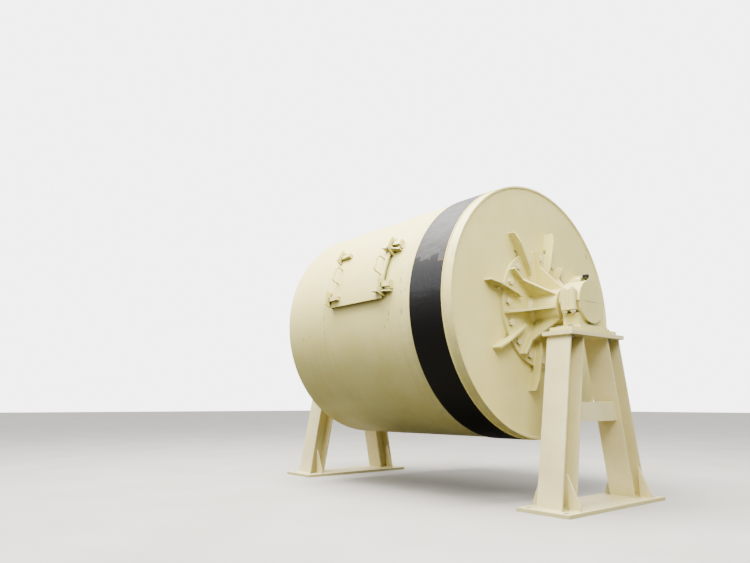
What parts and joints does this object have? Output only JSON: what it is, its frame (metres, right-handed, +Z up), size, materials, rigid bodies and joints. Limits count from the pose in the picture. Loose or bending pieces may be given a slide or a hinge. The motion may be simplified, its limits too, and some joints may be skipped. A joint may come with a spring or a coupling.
{
  "type": "batch ball mill",
  "caption": "Horizontal grinding drum with ribbed ends, a dark belt track and a clamped manhole, turning in split bearings on two welded stands.",
  "frame": {"origin": "on the floor, midway between the two stands and under the drum's axis, at the middle of the rectangle of the four outer anchor holes", "axes": "+X along the drum's axis towards the drive end with the belt track, -Y towards the side of the manhole, +Z up"},
  "size_m": [3.42, 2.2011, 2.5562],
  "materials": {
    "cream_paint": "semi-gloss cream enamel on rolled steel plate",
    "black_track": "black paint, worn grey where it was rubbed",
    "turned_steel": "turned and oiled",
    "bearing_casting": "cream enamel over cast iron",
    "bronze_bush": "machined bronze",
    "bolt_steel": "zinc plated, dulled",
    "black_cup": "black moulded cup",
    "stand_paint": "cream enamel on welded steel"
  },
  "bodies": {
    "stands": {"bearing_base_drive_end": "bearing_casting", "bearing_base_tail_end": "bearing_casting", "bearing_cap_drive_end": "bearing_casting", "bearing_cap_tail_end": "bearing_casting", "bearing_bush_drive_end": "bronze_bush", "bearing_bush_tail_end": "bronze_bush", "cap_bolts_drive_end": "cream_paint", "cap_bolts_tail_end": "cream_paint", "hold_down_bolts_drive_end": "bolt_steel", "hold_down_bolts_tail_end": "bolt_steel", "oil_cup_drive_end": "black_cup", "oil_cup_tail_end": "black_cup", "stand_foot_drive_end": "stand_paint", "stand_foot_tail_end": "stand_paint", "stand_top_drive_end": "stand_paint", "stand_top_tail_end": "stand_paint", "stand_legs_drive_end": "stand_paint", "stand_legs_tail_end": "stand_paint", "stand_tie_drive_end": "stand_paint", "stand_tie_tail_end": "stand_paint", "stand_stiffeners_drive_end": "stand_paint", "stand_stiffeners_tail_end": "stand_paint"},
    "drum": {"shell": "cream_paint", "drive_band": "black_track", "head_drive_end": "cream_paint", "head_tail_end": "cream_paint", "ribs_drive_end": "cream_paint", "ribs_tail_end": "cream_paint", "hub_drive_end": "cream_paint", "hub_tail_end": "cream_paint", "gussets_drive_end": "cream_paint", "gussets_tail_end": "cream_paint", "hub_bolts_drive_end": "cream_paint", "hub_bolts_tail_end": "cream_paint", "trunnion_drive_end": "turned_steel", "trunnion_tail_end": "turned_steel", "manhole_frame": "cream_paint", "manhole_cover": "cream_paint", "manhole_handles": "cream_paint", "clamp_shell_lugs": "cream_paint", "clamp_cover_lugs": "cream_paint", "clamp_bars": "cream_paint", "clamp_blocks": "cream_paint"}
  },
  "joints": [
    {"name": "drum_spin", "type": "hinge", "parent": "stands", "child": "drum", "pos_m": [0, 0, 1.5], "axis": [1, 0, 0], "continuous": true}
  ]
}
